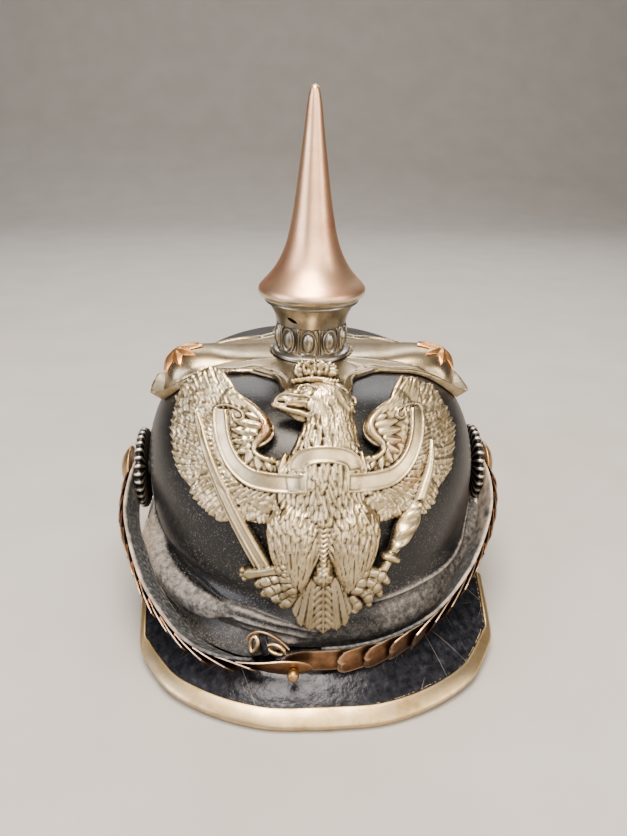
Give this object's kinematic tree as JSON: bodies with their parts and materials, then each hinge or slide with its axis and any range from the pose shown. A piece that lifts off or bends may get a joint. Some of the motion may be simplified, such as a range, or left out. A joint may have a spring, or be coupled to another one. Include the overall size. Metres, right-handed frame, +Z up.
{
  "type": "spiked leather helmet",
  "caption": "Black leather parade helmet with peaks, cross base, trumpet spike, relief eagle plate, cockades and a chin strap of overlapping scales; it is worn on the head.",
  "frame": {"origin": "centre of the footprint on the level the helmet stands on, under the spike", "axes": "+Z up along the spike, -Y towards the front peak, +X towards the wearer's left, seen on the right of the front view"},
  "size_m": [0.206, 0.2742, 0.2512],
  "materials": {
    "lacquered_leather": "black lacquered leather, dusty, with a soft sheen",
    "patent_leather": "black patent leather, glossy and finely scratched",
    "strap_leather": "worn grey-black leather",
    "nickel_silver": "tarnished nickel silver, satin",
    "edging_metal": "yellowed nickel silver, brushed",
    "cast_silver": "greyed cast silver with dark recesses",
    "gilt_copper": "worn copper gilt",
    "scale_copper": "browned copper and brass",
    "cockade_enamel": "dark enamel with worn pale ridges"
  },
  "bodies": {
    "root": {"skull": "lacquered_leather", "front_peak": "patent_leather", "front_peak_trim": "edging_metal", "rear_peak": "patent_leather", "cross_base": "nickel_silver", "star_right": "gilt_copper", "star_back": "gilt_copper", "star_left": "gilt_copper", "spike_neck": "nickel_silver", "spike": "nickel_silver", "eagle_plate": "cast_silver", "cockade_right": "cockade_enamel", "cockade_left": "cockade_enamel", "boss_right": "scale_copper", "boss_left": "scale_copper", "strap_leather_right": "strap_leather", "strap_leather_left": "strap_leather", "end_plate_right": "scale_copper", "end_plate_left": "scale_copper", "closing_stud": "gilt_copper", "strap_buckle": "scale_copper", "scale_right_01": "scale_copper", "scale_right_02": "scale_copper", "scale_right_03": "scale_copper", "scale_right_04": "scale_copper", "scale_right_05": "scale_copper", "scale_right_06": "scale_copper", "scale_right_07": "scale_copper", "scale_right_08": "scale_copper", "scale_right_09": "scale_copper", "scale_right_10": "scale_copper", "scale_right_11": "scale_copper", "scale_right_12": "scale_copper", "scale_right_13": "scale_copper", "scale_left_01": "scale_copper", "scale_left_02": "scale_copper", "scale_left_03": "scale_copper", "scale_left_04": "scale_copper", "scale_left_05": "scale_copper", "scale_left_06": "scale_copper", "scale_left_07": "scale_copper", "scale_left_08": "scale_copper", "scale_left_09": "scale_copper", "scale_left_10": "scale_copper", "scale_left_11": "scale_copper", "scale_left_12": "scale_copper", "scale_left_13": "scale_copper"}
  },
  "joints": []
}
